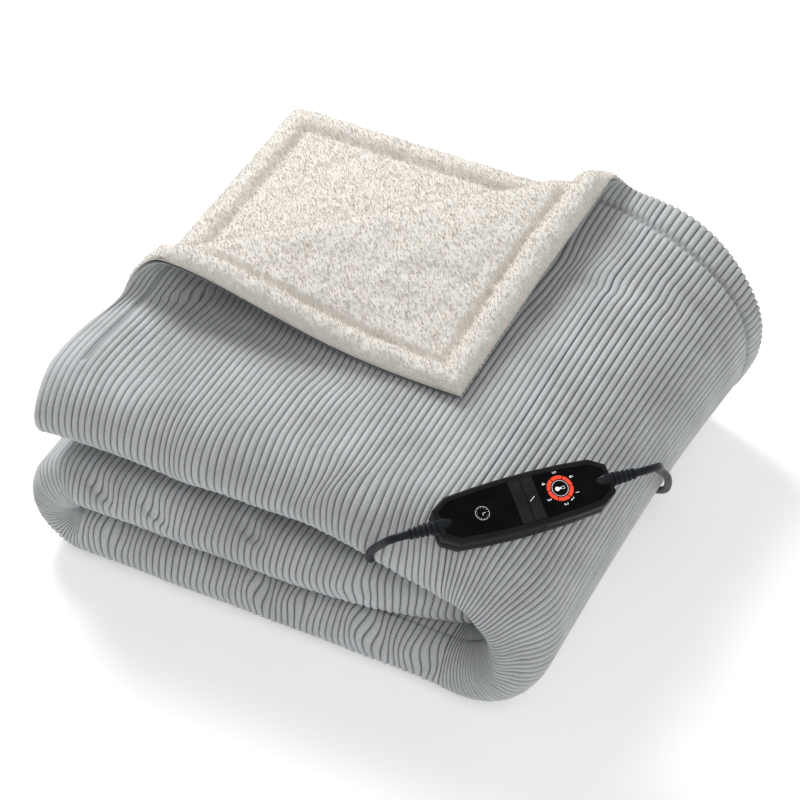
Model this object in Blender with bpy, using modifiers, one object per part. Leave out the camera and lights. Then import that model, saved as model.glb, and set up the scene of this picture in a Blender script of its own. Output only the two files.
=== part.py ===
"""Electric heated blanket, folded into a pack, with its handset and leads.

The blanket is two cloths sewn edge to edge: a ribbed corduroy cover and a sherpa lining.  It is
folded in half twice across its ribs, which gives a strip of four layers, and the strip is folded
in three along its length.  The top layer's back left corner is turned over, so the lining shows.
The handset lies on the front right corner of the pack.

Work frame: X runs along the front of the pack to the right, Y to the back and Z up, with zero at
the front left corner of the pack's foot.  Everything is shifted by ORIGIN at the end.
"""

import math

import bmesh
import bpy
from mathutils import Euler, Matrix, Vector

MM = 0.001

# ---- the pack -----------------------------------------------------------------------------------
ORIGIN = Vector((0.22957, 0.21744, 0.0))
PACK_HEIGHT = 0.182
PACK_DEPTH = 0.455
PACK_LENGTH = 0.465         # without the spread below
TOP_LENGTH = 0.369          # top stretch, from its free end to the start of the right wrap
FOLD_X = 0.0325             # axis of the left fold
MIDDLE_END_X = 0.379        # free end of the middle stretch, inside the right wrap

COVER = 0.003
LINING = 0.007
SEAM_GAP = 0.0005           # between cover and lining
HALF_LAYER = (COVER + SEAM_GAP + LINING) / 2
SEAM_SHIFT = HALF_LAYER - COVER - SEAM_GAP / 2  # seam surface above the layer's middle, cover side

PITCH_TOP = 0.019           # from layer to layer in the loose top stretch
PITCH_LOW = 0.0135          # and in the two pressed ones
LIP_TOP = 0.0448            # depth of the top stretch's rounded front, to the seam surface
STRETCH_GAP = 0.003         # between the bottom and middle stretches

HALF_TOP = 1.5 * PITCH_TOP + HALF_LAYER
HALF_LOW = 1.5 * PITCH_LOW + HALF_LAYER
Z_TOP = PACK_HEIGHT - HALF_TOP
Z_LOW = HALF_LOW
Z_MIDDLE = Z_LOW + 2 * HALF_LOW + STRETCH_GAP
WRAP_RADIUS = (Z_TOP - Z_LOW) / 2
WRAP_Z = (Z_TOP + Z_LOW) / 2
FOLD_RADIUS = (Z_MIDDLE - Z_LOW) / 2
FOLD_Z = (Z_MIDDLE + Z_LOW) / 2

LOW_REACH = 0.007           # how far the two pressed stretches stick out in front of the top one
BACK_PULL = 0.11            # share of its depth that the cloth loses by the far side of the wrap
WRAP_SPREAD = 0.026         # how much further the wrap reaches at its back end
HEM_STEP = 0.004            # each hidden edge at the back stops this much short of the top one

# ---- the turned-over corner ---------------------------------------------------------------------
TURN_START = Vector((0.0, 0.100))      # where the turn line meets the top stretch's free end
TURN_ALONG = Vector((1.0, 1.0)).normalized()
TURN_ACROSS = Vector((-1.0, 1.0)).normalized()
TURN_LENGTH = (PACK_DEPTH - TURN_START.y) * math.sqrt(2)
TURN_RADIUS_FRONT = 0.020
TURN_RADIUS_BACK = 0.011
TURN_REST = 2 * (COVER + SEAM_GAP / 2) + 0.0015   # seam surface of the corner above the layer below
TURN_EASE = 0.070           # distance over which the turned corner comes down to rest
TURN_DRAW = 0.016           # how far the hem is drawn in where the corner turns

# how finely each stretch and each layer is divided
STRETCHES = (
    # name, divisions
    ("top", 6),
    ("wrap", 8),
    ("bottom", 3),
    ("left fold", 6),
    ("middle", 3),
)
LAYERS = (
    # name, divisions
    ("first layer", 6),
    ("outer front wrap", 6),
    ("fourth layer", 2),
    ("back fold", 5),
    ("third layer", 2),
    ("inner front wrap", 5),
    ("second layer", 3),
)
TURN_DIVISIONS = 6

# ---- the handset --------------------------------------------------------------------------------
HANDSET_AT = Vector((0.4135, 0.0481, 0.1952))     # middle of its top face
HANDSET_TURN = Euler((math.radians(23.0), math.radians(2.0), math.radians(48.5)))
BODY_HALF_LENGTH = 73 * MM
BODY_END_HALF_WIDTH = 12 * MM
BODY_CORNER = Vector((60 * MM, 20 * MM))
BODY_HALF_WIDTH = 23 * MM
BODY_HEIGHT = 19 * MM
SHELL_SPLIT = 8.5 * MM      # depth of the joint between the two shells
PART_GAP = 0.3 * MM
RIM = 4.6 * MM
POCKET_DEPTH = 2.4 * MM
PLATE_DROP = 0.6 * MM
KEY_RISE = 0.3 * MM
KEY_EDGES = ((-8.4 * MM, 1.4 * MM), (2.0 * MM, 11.8 * MM))
NUB_AT = Vector((9 * MM, -22.6 * MM, -6.0 * MM))

BOOT_NOSE = 18 * MM         # how far a boot reaches over the face
BOOT_NOSE_RADIUS = 6.4 * MM
BOOT_TAIL = 21 * MM
BOOT_TAIL_RADIUS = (5.6 * MM, 4.4 * MM)
BOOT_RIBS = 5
BOOT_DEPTH = 5.2 * MM       # a boot's axis below the top face

# ---- the leads ----------------------------------------------------------------------------------
CORD_RADIUS = 3.25 * MM
COIL_RADIUS = 38 * MM
COIL_TURNS = 6
COIL_AT = Vector((0.290, 0.519, 0.0))
COIL_BASE = 2.0 * MM
TIE_THICKNESS = 1.2 * MM
TIE_WIDTH = 8 * MM
FLOOR_GAP = 0.2 * MM
GAP_Z = (Z_TOP - HALF_TOP + Z_MIDDLE + HALF_LOW) / 2  # middle of the gap under the top stretch

PLUG_AT = Vector((0.150, 0.487, 6.85 * MM + FLOOR_GAP))  # back of the plug's body; it points to -X
PLUG_BODY = Vector((36 * MM, 35 * MM, 13.7 * MM))
PLUG_BACK_WIDTH = 17 * MM
PIN_RADIUS = 2.0 * MM
PIN_LENGTH = 19 * MM
PIN_SPACING = 18.6 * MM
PLUG_BOOT = 16 * MM

CLOTH_GREY = (0.52, 0.53, 0.54)
CLOTH_CREAM = (0.80, 0.76, 0.68)
HOUSING_GREY = (0.045, 0.048, 0.052)
FACE_BLACK = (0.006, 0.006, 0.007)
KEY_GREY = (0.035, 0.037, 0.040)
CORD_BLACK = (0.022, 0.024, 0.028)
PIN_METAL = (0.62, 0.60, 0.56)


# ---- small helpers ------------------------------------------------------------------------------
def clear_scene():
    for thing in list(bpy.data.objects):
        bpy.data.objects.remove(thing, do_unlink=True)


def make_collection(name):
    collection = bpy.data.collections.new(name)
    bpy.context.scene.collection.children.link(collection)
    return collection


def make_material(name, colour, roughness, metallic=0.0):
    material = bpy.data.materials.new(name)
    material.use_nodes = True
    shader = material.node_tree.nodes["Principled BSDF"]
    shader.inputs["Base Color"].default_value = (*colour, 1.0)
    shader.inputs["Roughness"].default_value = roughness
    shader.inputs["Metallic"].default_value = metallic
    return material


def add_object(name, mesh, collection, material=None, parent=None):
    thing = bpy.data.objects.new(name, mesh)
    collection.objects.link(thing)
    if material:
        mesh.materials.append(material)
    thing.parent = parent
    return thing


def smooth_step(value):
    value = min(1.0, max(0.0, value))
    return value * value * (3 - 2 * value)


def mix(start, end, share):
    return start + (end - start) * share


# ---- the folded cloth ---------------------------------------------------------------------------
def stretch_at(u):
    """Middle of the strip at fold coordinate u: x, z, outward normal, pitch, lip depth, back pull."""
    stretch = min(int(u), len(STRETCHES) - 1)
    share = u - stretch
    lip_low = 1.5 * PITCH_LOW + SEAM_SHIFT
    if stretch == 0:
        x = TOP_LENGTH * share
        return x, Z_TOP, (0.0, 1.0), PITCH_TOP, LIP_TOP, pull_at(x)
    if stretch == 1:
        angle = math.pi * share
        normal = (math.sin(angle), math.cos(angle))
        ease = smooth_step(share)
        return (
            TOP_LENGTH + WRAP_RADIUS * normal[0],
            WRAP_Z + WRAP_RADIUS * normal[1],
            normal,
            mix(PITCH_TOP, PITCH_LOW, ease),
            mix(LIP_TOP, lip_low, ease),
            pull_at(TOP_LENGTH + WRAP_RADIUS * angle),
        )
    if stretch == 2:
        x = mix(TOP_LENGTH, FOLD_X, share)
        return x, Z_LOW, (0.0, -1.0), PITCH_LOW, lip_low, BACK_PULL * (1 - smooth_step(share))
    if stretch == 3:
        angle = math.pi * share
        normal = (-math.sin(angle), -math.cos(angle))
        return (
            FOLD_X + FOLD_RADIUS * normal[0],
            FOLD_Z + FOLD_RADIUS * normal[1],
            normal,
            PITCH_LOW,
            lip_low,
            0.0,
        )
    return mix(FOLD_X, MIDDLE_END_X, share), Z_MIDDLE, (0.0, 1.0), PITCH_LOW, lip_low, 0.0


def pull_at(distance):
    """Share of its depth lost by the cloth, this far along the strip."""
    return BACK_PULL * min(1.0, distance / (PACK_LENGTH + FOLD_X)) ** 2


def front_reach(stretch, share):
    """How far the front of a stretch stands in front of the top stretch's."""
    return LOW_REACH * (0.0, smooth_step(share), 1.0, 1.0, 1.0)[stretch]


def layer_at(v, pitch, lip, reach):
    """Depth y and height h above the strip's middle, at fold coordinate v."""
    layer = min(int(v), len(LAYERS) - 1)
    share = v - layer
    front = lip + COVER + SEAM_GAP / 2 - reach
    back = PACK_DEPTH - 3 * HEM_STEP
    outer = 1.5 * pitch + SEAM_SHIFT
    inner = 0.5 * pitch - SEAM_SHIFT
    turn = 0.5 * pitch + SEAM_SHIFT
    if layer == 0:
        return mix(PACK_DEPTH, front, share), outer
    if layer == 1:
        angle = math.pi * share
        return front - lip * math.sin(angle), outer * math.cos(angle)
    if layer == 2:
        return mix(front, back, share), -outer
    if layer == 3:
        angle = math.pi * share
        return back + turn * math.sin(angle), -pitch - turn * math.cos(angle)
    if layer == 4:
        return mix(back, front, share), -inner
    if layer == 5:
        angle = math.pi * share
        return front - inner * math.sin(angle), -inner * math.cos(angle)
    return mix(front, PACK_DEPTH - HEM_STEP, share), inner


def turn_radius(along):
    return mix(TURN_RADIUS_FRONT, TURN_RADIUS_BACK, along / TURN_LENGTH)


def turned_corner(place):
    """Where a point of the flat first layer lands once its corner is turned over, and its lift."""
    from_start = place - TURN_START
    along = from_start.dot(TURN_ALONG)
    across = from_start.dot(TURN_ACROSS)
    if across <= 0:
        return place, 0.0
    radius = turn_radius(along)
    angle = across / radius
    if angle < math.pi:
        reach = radius * math.sin(angle)
        lift = radius * (1 - math.cos(angle))
    else:
        reach = math.pi * radius - across
        lift = mix(TURN_REST, 2 * radius, math.exp(-((reach / TURN_EASE) ** 2)))
    along += TURN_DRAW * math.exp(-along / 0.03) * smooth_step(across / 0.02)
    return TURN_START + along * TURN_ALONG + reach * TURN_ACROSS, lift


def wrap_spread(outward_x, y):
    """How far the wrap is pushed out to the right, at a place whose outward normal has this x."""
    return WRAP_SPREAD * max(0.0, outward_x) * max(0.0, y / PACK_DEPTH) ** 3


def fold(u, v):
    """Fold coordinates to the work frame: u counts the stretches and v the layers."""
    x, z, normal, pitch, lip, pull = stretch_at(u)
    stretch = min(int(u), len(STRETCHES) - 1)
    y, height = layer_at(v, pitch, lip, front_reach(stretch, u - stretch))
    lift = 0.0
    if u <= 1 and v <= 1:
        place, lift = turned_corner(Vector((x, y)))
        x, y = place
        pull = pull_at(x)
    y *= 1 - pull
    height += lift
    x += wrap_spread(normal[0], y)
    return Vector((x + normal[0] * height, y, z + normal[1] * height))


def cut_sheet(bm, faces, point, direction):
    """Cut the faces along a line of the flat sheet."""
    edges = {edge for face in faces for edge in face.edges}
    verts = {vert for face in faces for vert in face.verts}
    bmesh.ops.bisect_plane(
        bm,
        geom=[*faces, *edges, *verts],
        dist=1e-6,
        plane_co=(*point, 0.0),
        plane_no=(direction[1], -direction[0], 0.0),
    )


def sheet_from_work(place):
    """The first layer's fold coordinates for a point of the work frame's plan."""
    front = LIP_TOP + COVER + SEAM_GAP / 2
    return Vector((place.x / TOP_LENGTH, (PACK_DEPTH - place.y) / (PACK_DEPTH - front)))


def folded_mesh():
    """The seam surface between cover and lining, creased as a flat sheet and then folded."""
    bm = bmesh.new()
    across, down = len(STRETCHES), len(LAYERS)
    middle = Matrix.Translation((across / 2, down / 2, 0))
    bmesh.ops.create_grid(
        bm,
        x_segments=across,
        y_segments=down,
        size=0.5,
        matrix=middle @ Matrix.Diagonal((across, down, 1, 1)),
    )
    for index, (_, divisions) in enumerate(STRETCHES):
        for step in range(1, divisions):
            cut_sheet(bm, bm.faces[:], (index + step / divisions, 0), (0, 1))
    for index, (_, divisions) in enumerate(LAYERS):
        for step in range(1, divisions):
            cut_sheet(bm, bm.faces[:], (0, index + step / divisions), (1, 0))
    for step in range(TURN_DIVISIONS + 1):
        angle = math.pi * step / TURN_DIVISIONS
        start = TURN_START + angle * TURN_RADIUS_FRONT * TURN_ACROSS
        end = TURN_START + TURN_LENGTH * TURN_ALONG + angle * TURN_RADIUS_BACK * TURN_ACROSS
        start, end = sheet_from_work(start), sheet_from_work(end)
        first = [face for face in bm.faces if max(face.calc_center_median()[:2]) < 1]
        cut_sheet(bm, first, start, end - start)
    for vert in bm.verts:
        vert.co = fold(vert.co.x, vert.co.y) - ORIGIN
    bmesh.ops.reverse_faces(bm, faces=bm.faces[:])
    mesh = bpy.data.meshes.new("seam_surface")
    bm.to_mesh(mesh)
    bm.free()
    mesh.shade_smooth()
    return mesh


def add_cloth(name, mesh, thickness, side, collection, material):
    """One cloth of the blanket, beside the seam surface: side is 1 for the cover, -1 for the lining."""
    cloth = add_object(name, mesh, collection, material)
    solidify = cloth.modifiers.new("thickness", "SOLIDIFY")
    solidify.thickness = thickness
    solidify.offset = side * (1 + SEAM_GAP / thickness)
    solidify.use_even_offset = True
    return cloth


# ---- the handset --------------------------------------------------------------------------------
def body_outline(inset=0.0, steps=5):
    """Points of the handset's outline: narrow ends, cut corners and slightly bowed long sides."""
    end = BODY_HALF_LENGTH - inset
    corner_x = BODY_CORNER.x - inset * 0.45
    bow = BODY_HALF_WIDTH - BODY_CORNER.y
    side = [
        Vector((x, BODY_CORNER.y - inset + bow * (1 - (x / corner_x) ** 2)))
        for x in (corner_x * (1 - 2 * step / steps) for step in range(steps + 1))
    ]
    half = [Vector((end, BODY_END_HALF_WIDTH - inset * 0.55)), *side]
    half.append(Vector((-end, BODY_END_HALF_WIDTH - inset * 0.55)))
    return half + [-point for point in half]


def outline_mesh(name, points, bottom, top):
    """A prism on a flat outline, between two heights."""
    bm = bmesh.new()
    face = bm.faces.new([bm.verts.new((point.x, point.y, bottom)) for point in points])
    face.normal_update()
    if face.normal.z > 0:
        face.normal_flip()
    side = bmesh.ops.extrude_face_region(bm, geom=[face])
    lifted = [item for item in side["geom"] if isinstance(item, bmesh.types.BMVert)]
    bmesh.ops.translate(bm, verts=lifted, vec=(0, 0, top - bottom))
    bmesh.ops.recalc_face_normals(bm, faces=bm.faces[:])
    mesh = bpy.data.meshes.new(name)
    bm.to_mesh(mesh)
    bm.free()
    return mesh


def box_mesh(name, low, high):
    low, high = Vector(low), Vector(high)
    bm = bmesh.new()
    size = high - low
    place = Matrix.Translation((low + high) / 2) @ Matrix.Diagonal((*size, 1))
    bmesh.ops.create_cube(bm, size=1.0, matrix=place)
    mesh = bpy.data.meshes.new(name)
    bm.to_mesh(mesh)
    bm.free()
    return mesh


def pin_mesh(name, inner_radius, outer_radius, length):
    """A short pin at the nub's place, standing out of the handset's front side wall."""
    bm = bmesh.new()
    bmesh.ops.create_cone(
        bm, cap_ends=True, segments=12, radius1=inner_radius, radius2=outer_radius, depth=length
    )
    place = Matrix.Translation(NUB_AT) @ Matrix.Rotation(math.pi / 2, 4, "X")
    bmesh.ops.transform(bm, verts=bm.verts, matrix=place)
    mesh = bpy.data.meshes.new(name)
    bm.to_mesh(mesh)
    bm.free()
    return mesh


def cut(thing, cutter):
    modifier = thing.modifiers.new("cut " + cutter.name, "BOOLEAN")
    modifier.operation = "DIFFERENCE"
    modifier.object = cutter


def keep_inside(thing, cutter):
    modifier = thing.modifiers.new("inside " + cutter.name, "BOOLEAN")
    modifier.operation = "INTERSECT"
    modifier.object = cutter


def bevel(thing, width, segments=2):
    modifier = thing.modifiers.new("edges", "BEVEL")
    modifier.width = width
    modifier.segments = segments
    modifier.limit_method = "ANGLE"
    modifier.angle_limit = math.radians(40)


def add_cutter(name, mesh, cutters, parent=None):
    cutter = add_object(name, mesh, cutters, parent=parent)
    cutter.hide_render = True
    cutter.display_type = "WIRE"
    return cutter


def turned_mesh(name, profile, steps=16):
    """A solid turned about the local X axis, from (x, radius) pairs that run from tip to tail."""
    bm = bmesh.new()
    verts = [bm.verts.new((x, 0.0, radius)) for x, radius in profile]
    edges = [bm.edges.new(pair) for pair in zip(verts, verts[1:])]
    bmesh.ops.spin(
        bm,
        geom=verts + edges,
        axis=(1, 0, 0),
        cent=(0, 0, 0),
        angle=2 * math.pi,
        steps=steps,
        use_merge=True,
    )
    bmesh.ops.remove_doubles(bm, verts=bm.verts[:], dist=1e-6)
    bmesh.ops.recalc_face_normals(bm, faces=bm.faces[:])
    mesh = bpy.data.meshes.new(name)
    bm.to_mesh(mesh)
    bm.free()
    mesh.shade_smooth()
    return mesh


def nose_profile(growth):
    """A bullet nose, from its tip on the face to the end of the body."""
    radius = BOOT_NOSE_RADIUS + growth
    length = BOOT_NOSE + growth
    tip = BODY_HALF_LENGTH - BOOT_NOSE
    steps = 5
    points = []
    for step in range(steps + 1):
        angle = math.pi / 2 * step / steps
        points.append((tip + BOOT_NOSE - length * math.cos(angle), radius * math.sin(angle)))
    return points


def boot_profile():
    """The nose, then a ribbed tail that tapers to the cord."""
    points = nose_profile(0.0)
    start = BODY_HALF_LENGTH + 0.5 * MM
    pitch = BOOT_TAIL / BOOT_RIBS
    for rib in range(BOOT_RIBS):
        radius = mix(*BOOT_TAIL_RADIUS, rib / (BOOT_RIBS - 1))
        near = start + rib * pitch
        points += [
            (near, radius - 1.1 * MM),
            (near + 0.35 * pitch, radius - 1.1 * MM),
            (near + 0.45 * pitch, radius),
            (near + 0.9 * pitch, radius),
        ]
    points.append((start + BOOT_TAIL, 0.0))
    return points


def add_handset(parts, cutters, frame):
    """Two shells, two face plates, two push keys, a side nub and a boot at each end."""
    housing = make_material("handset housing", HOUSING_GREY, 0.5)
    face = make_material("handset face", FACE_BLACK, 0.12)
    keys = make_material("handset keys", KEY_GREY, 0.45)
    boot_rubber = make_material("boot rubber", CORD_BLACK, 0.5)

    lower = outline_mesh("lower_shell", body_outline(), -BODY_HEIGHT, -SHELL_SPLIT - PART_GAP)
    upper = outline_mesh("upper_shell", body_outline(), -SHELL_SPLIT, 0.0)
    lower = add_object("handset_lower_shell", lower, parts, housing, frame)
    upper = add_object("handset_upper_shell", upper, parts, housing, frame)
    bevel(lower, 3.0 * MM)
    bevel(upper, 1.6 * MM)

    pocket = outline_mesh("pocket", body_outline(RIM), -POCKET_DEPTH, 2 * MM)
    pocket = add_cutter("face_pocket", pocket, cutters, frame)
    cut(upper, pocket)
    plates = []
    reach = BODY_HALF_LENGTH
    key_left, key_right = KEY_EDGES[0][0], KEY_EDGES[1][1]
    for name, low_x, high_x in (
        ("face_plate_left", -reach, key_left - PART_GAP),
        ("face_plate_right", key_right + PART_GAP, reach),
    ):
        plate = outline_mesh(
            name, body_outline(RIM + PART_GAP), PART_GAP - POCKET_DEPTH, -PLATE_DROP
        )
        plate = add_object(name, plate, parts, face, frame)
        side = box_mesh(name, (low_x, -reach, -reach), (high_x, reach, reach))
        keep_inside(plate, add_cutter(name + "_side", side, cutters, frame))
        plates.append(plate)
    for name, edges in zip(("key_left", "key_right"), KEY_EDGES):
        add_key(name, edges, parts, cutters, keys, frame)

    nub = pin_mesh("side_nub", 1.4 * MM, 1.0 * MM, 2.0 * MM)
    add_object("handset_side_nub", nub, parts, keys, frame)
    hole = pin_mesh("nub_hole", 1.8 * MM, 1.8 * MM, 3.0 * MM)
    cut(upper, add_cutter("nub_hole", hole, cutters, frame))

    for name, turn in (("boot_right", 0.0), ("boot_left", math.pi)):
        seat = nose_profile(PART_GAP)
        last = BODY_HALF_LENGTH + 4 * MM
        seat += [(last, BOOT_NOSE_RADIUS + PART_GAP), (last, 0.0)]
        place = Matrix.Rotation(turn, 4, "Z") @ Matrix.Translation((0, 0, -BOOT_DEPTH))
        seat = turned_mesh(name + "_seat", seat)
        seat.transform(place)
        seat = add_cutter(name + "_seat", seat, cutters, frame)
        for thing in (lower, upper, *plates):
            cut(thing, seat)
        boot = turned_mesh(name, boot_profile())
        boot.transform(place)
        add_object(name, boot, parts, boot_rubber, frame)


def add_key(name, edges, parts, cutters, material, frame):
    """A push key as wide as the face, that sinks into the pocket."""
    outline = outline_mesh(
        name, body_outline(RIM + PART_GAP), PART_GAP + 1.0 * MM - POCKET_DEPTH, KEY_RISE
    )
    key = add_object(name, outline, parts, material, frame)
    reach = BODY_HALF_LENGTH
    side = box_mesh(name, (edges[0], -reach, -reach), (edges[1], reach, reach))
    keep_inside(key, add_cutter(name + "_side", side, cutters, frame))
    return key


# ---- the leads ----------------------------------------------------------------------------------
def smooth_route(points, per_span):
    """Points of a smooth curve through the route's own points, with no overshoot on short spans."""
    steps = [end - start for start, end in zip(points, points[1:])]
    headings = [steps[0].normalized()]
    for before, after in zip(steps, steps[1:]):
        heading = before * after.length / before.length + after * before.length / after.length
        headings.append(heading.normalized())
    headings.append(steps[-1].normalized())
    route = []
    for index, step in enumerate(steps):
        leave, arrive = (heading * step.length for heading in headings[index : index + 2])
        for count in range(per_span):
            t = count / per_span
            route.append(
                points[index]
                + step * (3 * t**2 - 2 * t**3)
                + leave * (t - 2 * t**2 + t**3)
                + arrive * (t**3 - t**2)
            )
    route.append(points[-1])
    return route


def add_tube(name, points, collection, material):
    curve = bpy.data.curves.new(name, "CURVE")
    curve.dimensions = "3D"
    curve.bevel_depth = CORD_RADIUS
    curve.bevel_resolution = 2
    curve.use_fill_caps = True
    spline = curve.splines.new("POLY")
    spline.points.add(len(points) - 1)
    for point, place in zip(spline.points, points):
        point.co = (*(place - ORIGIN), 1.0)
    curve.materials.append(material)
    tube = bpy.data.objects.new(name, curve)
    collection.objects.link(tube)
    return tube


def handset_matrix():
    return Matrix.Translation(HANDSET_AT) @ HANDSET_TURN.to_matrix().to_4x4()


def boot_end(side, beyond):
    """A point on a boot's axis, past the end of its tail, in the work frame."""
    reach = side * (BODY_HALF_LENGTH + 0.5 * MM + BOOT_TAIL + beyond)
    return handset_matrix() @ Vector((reach, 0, -BOOT_DEPTH))


def wrap_point(degrees, y, off=CORD_RADIUS + 1.5 * MM):
    """The middle of a cord on the outside of the wrap, so many degrees around from its top."""
    share = degrees / 180
    normal = (math.sin(math.pi * share), math.cos(math.pi * share))
    half = mix(HALF_TOP, HALF_LOW, smooth_step(share))
    radius = WRAP_RADIUS + half + off
    x = TOP_LENGTH + radius * normal[0] + wrap_spread(normal[0], y)
    return Vector((x, y, WRAP_Z + radius * normal[1]))


def blanket_lead_points():
    """From the left boot over the front of the top stretch, and in between the stretches."""
    return [
        boot_end(-1, PART_GAP),
        boot_end(-1, 9 * MM),
        Vector((0.325, -0.0215, 0.171)),
        Vector((0.309, -0.0085, 0.142)),
        Vector((0.3035, 0.004, 0.121)),
        Vector((0.300, 0.018, 0.1125)),
        Vector((0.296, 0.036, GAP_Z)),
        Vector((0.290, 0.060, GAP_Z)),
        Vector((0.278, 0.100, GAP_Z)),
        Vector((0.240, 0.150, GAP_Z)),
        Vector((0.170, 0.175, GAP_Z)),
        Vector((0.110, 0.150, GAP_Z)),
    ]


def mains_lead_points():
    """From the right boot down the outside of the wrap, then along the floor to the coil."""
    floor = CORD_RADIUS + FLOOR_GAP
    coil_z = COIL_BASE + CORD_RADIUS
    front = COIL_AT.y - COIL_RADIUS
    meet = math.sqrt((COIL_RADIUS + CORD_RADIUS) ** 2 - (COIL_RADIUS - CORD_RADIUS) ** 2)
    return [
        boot_end(1, PART_GAP),
        boot_end(1, 8 * MM),
        wrap_point(64, 0.180, 22 * MM),
        wrap_point(79, 0.205, 12 * MM),
        wrap_point(93, 0.222, 6.5 * MM),
        wrap_point(115, 0.246),
        wrap_point(138, 0.272),
        wrap_point(150, 0.292, CORD_RADIUS + 2.5 * MM),
        Vector((0.418, 0.322, floor + 0.8 * MM)),
        Vector((0.418, 0.360, floor)),
        Vector((0.419, 0.416, floor)),
        Vector((0.398, 0.467, floor)),
        Vector((0.350, front + 1 * MM, floor + 1 * MM)),
        Vector((COIL_AT.x + meet + 0.4 * MM, front, coil_z)),
    ]


def mains_tail_points():
    """From the top of the coil down to the plug."""
    top = COIL_BASE + (2 * COIL_TURNS + 1) * CORD_RADIUS
    front = COIL_AT.y - COIL_RADIUS
    meet = math.sqrt((COIL_RADIUS + CORD_RADIUS) ** 2 - (COIL_RADIUS - CORD_RADIUS) ** 2)
    return [
        Vector((COIL_AT.x - meet - 0.4 * MM, front, top)),
        Vector((0.240, front + 1 * MM, 0.034)),
        Vector((0.205, PLUG_AT.y - 2 * MM, 0.015)),
        Vector((0.180, PLUG_AT.y, PLUG_AT.z)),
        PLUG_AT + Vector((PLUG_BOOT + 2 * PART_GAP, 0, 0)),
    ]


def ring_mesh(name, radius, half_width, low, high, steps=40):
    """A turned ring of rectangular section with slightly rounded edges."""
    bm = bmesh.new()
    edge = 0.3 * half_width
    section = [
        (radius + half_width, low + edge),
        (radius + half_width, high - edge),
        (radius + half_width - edge, high),
        (radius - half_width + edge, high),
        (radius - half_width, high - edge),
        (radius - half_width, low + edge),
        (radius - half_width + edge, low),
        (radius + half_width - edge, low),
    ]
    verts = [bm.verts.new((distance, 0.0, height)) for distance, height in section]
    edges = [bm.edges.new(pair) for pair in zip(verts, [*verts[1:], verts[0]])]
    bmesh.ops.spin(
        bm,
        geom=verts + edges,
        axis=(0, 0, 1),
        cent=(0, 0, 0),
        angle=2 * math.pi,
        steps=steps,
        use_merge=True,
    )
    bmesh.ops.recalc_face_normals(bm, faces=bm.faces[:])
    mesh = bpy.data.meshes.new(name)
    bm.to_mesh(mesh)
    bm.free()
    return mesh


def add_leads(parts, cutters):
    """Both leads, with the mains lead's coil, tie and plug."""
    rubber = make_material("cord rubber", CORD_BLACK, 0.5)
    metal = make_material("plug pins", PIN_METAL, 0.3, 1.0)
    add_tube("blanket_lead", smooth_route(blanket_lead_points(), 3), parts, rubber)
    add_tube("mains_lead", smooth_route(mains_lead_points(), 3), parts, rubber)
    add_tube("mains_tail", smooth_route(mains_tail_points(), 3), parts, rubber)

    high = COIL_BASE + 2 * (COIL_TURNS + 1) * CORD_RADIUS
    ring = ring_mesh("mains_coil", COIL_RADIUS, CORD_RADIUS, COIL_BASE, high)
    coil = add_object("mains_coil", ring, parts, rubber)
    coil.location = COIL_AT - ORIGIN

    inner = Vector((CORD_RADIUS + 0.5 * MM, TIE_WIDTH, (high - COIL_BASE) / 2 + 0.4 * MM))
    outer = inner + Vector((TIE_THICKNESS, 0, TIE_THICKNESS))
    half = Vector((outer.x, TIE_WIDTH / 2, outer.z))
    tie = add_object("coil_tie", box_mesh("coil_tie", -half, half), parts, rubber)
    tie.location = COIL_AT - ORIGIN + Vector((COIL_RADIUS, 0, (high + COIL_BASE) / 2))
    hole = add_cutter("tie_hole", box_mesh("tie_hole", -inner, inner), cutters)
    hole.location = tie.location
    cut(tie, hole)

    plug = bpy.data.objects.new("plug_frame", None)
    parts.objects.link(plug)
    plug.location = PLUG_AT - ORIGIN
    plug.rotation_euler = (0, 0, math.pi)
    length, width, height = PLUG_BODY
    outline = [
        Vector((0, PLUG_BACK_WIDTH / 2)),
        Vector((0.35 * length, width / 2)),
        Vector((length, width / 2)),
    ]
    outline = [Vector((point.x, -point.y)) for point in outline] + outline[::-1]
    body = outline_mesh("plug_body", outline, -height / 2, height / 2)
    bevel(add_object("plug_body", body, parts, rubber, plug), 2.5 * MM)
    tail = [(-PLUG_BOOT, 0.0), (-PLUG_BOOT, 4.2 * MM), (-PART_GAP, 5.6 * MM), (-PART_GAP, 0.0)]
    add_object("plug_boot", turned_mesh("plug_boot", tail), parts, rubber, plug)
    for name, side in (("plug_pin_left", 1), ("plug_pin_right", -1)):
        pin = [
            (length + PART_GAP, 0.0),
            (length + PART_GAP, PIN_RADIUS),
            (length + PIN_LENGTH - 1 * MM, PIN_RADIUS),
            (length + PIN_LENGTH, PIN_RADIUS - 1 * MM),
            (length + PIN_LENGTH, 0.0),
        ]
        pin = add_object(name, turned_mesh(name, pin, 12), parts, metal, plug)
        pin.location.y = side * PIN_SPACING / 2


def main():
    clear_scene()
    parts = make_collection("electric heated blanket")
    cutters = make_collection("cutters")
    grey = make_material("corduroy", CLOTH_GREY, 0.9)
    cream = make_material("sherpa", CLOTH_CREAM, 0.95)

    seam = folded_mesh()
    add_cloth("corduroy_cover", seam, COVER, 1, parts, grey)
    add_cloth("sherpa_lining", seam.copy(), LINING, -1, parts, cream)

    frame = bpy.data.objects.new("handset_frame", None)
    parts.objects.link(frame)
    frame.location = HANDSET_AT - ORIGIN
    frame.rotation_euler = HANDSET_TURN
    add_handset(parts, cutters, frame)
    add_leads(parts, cutters)


main()
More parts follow.
